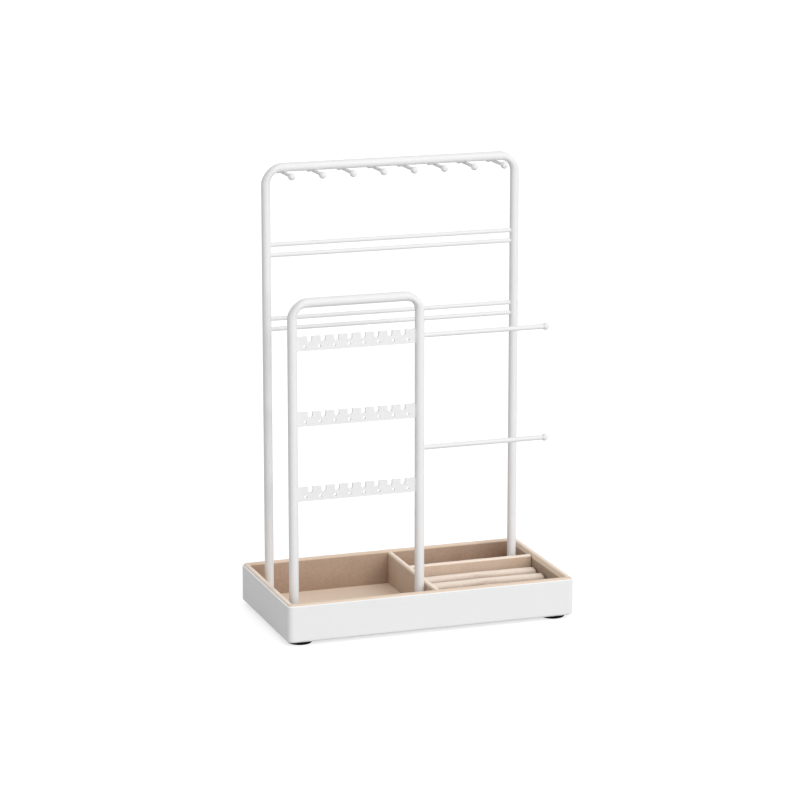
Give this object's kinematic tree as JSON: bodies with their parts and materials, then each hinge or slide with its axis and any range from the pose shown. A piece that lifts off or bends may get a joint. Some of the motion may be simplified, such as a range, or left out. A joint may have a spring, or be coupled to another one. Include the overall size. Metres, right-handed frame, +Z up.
{
  "type": "jewelry stand",
  "caption": "Jewellery stand: velvet lined tray with ring rolls, a tall bent tube frame with necklace hooks and crossbars, and a lower frame with notched earring plates and bracelet bars.",
  "frame": {"origin": "on the surface the stand rests on, under the middle of the tray", "axes": "+X to the right as seen from the front, +Y to the back, +Z up"},
  "size_m": [0.25, 0.135, 0.3808],
  "materials": {
    "white_coat": "satin white powder coat",
    "velvet": "short pile velvet over board",
    "roll_velvet": "short pile velvet over foam",
    "rubber": "matt black",
    "bare_steel": "plain zinc plated"
  },
  "bodies": {
    "root": {"base_tray": "white_coat", "divider": "velvet", "ring_panel": "velvet", "liner_front": "velvet", "liner_back": "velvet", "liner_left": "velvet", "liner_right": "velvet", "floor_board_left": "velvet", "floor_board_right": "velvet", "ring_roll_1": "roll_velvet", "ring_roll_2": "roll_velvet", "ring_roll_3": "roll_velvet", "ring_roll_4": "roll_velvet", "back_frame": "white_coat", "crossbar_1": "white_coat", "crossbar_2": "white_coat", "crossbar_3": "white_coat", "crossbar_4": "white_coat", "necklace_hook_1": "white_coat", "necklace_hook_2": "white_coat", "necklace_hook_3": "white_coat", "necklace_hook_4": "white_coat", "necklace_hook_5": "white_coat", "necklace_hook_6": "white_coat", "necklace_hook_7": "white_coat", "necklace_hook_8": "white_coat", "front_frame": "white_coat", "earring_plate_1": "white_coat", "earring_plate_2": "white_coat", "earring_plate_3": "white_coat", "bracelet_bar_upper": "white_coat", "bracelet_bar_lower": "white_coat", "foot_front_left": "rubber", "foot_front_right": "rubber", "foot_back_left": "rubber", "foot_back_right": "rubber", "tube_plugs": "bare_steel", "frame_screws": "bare_steel"}
  },
  "joints": []
}
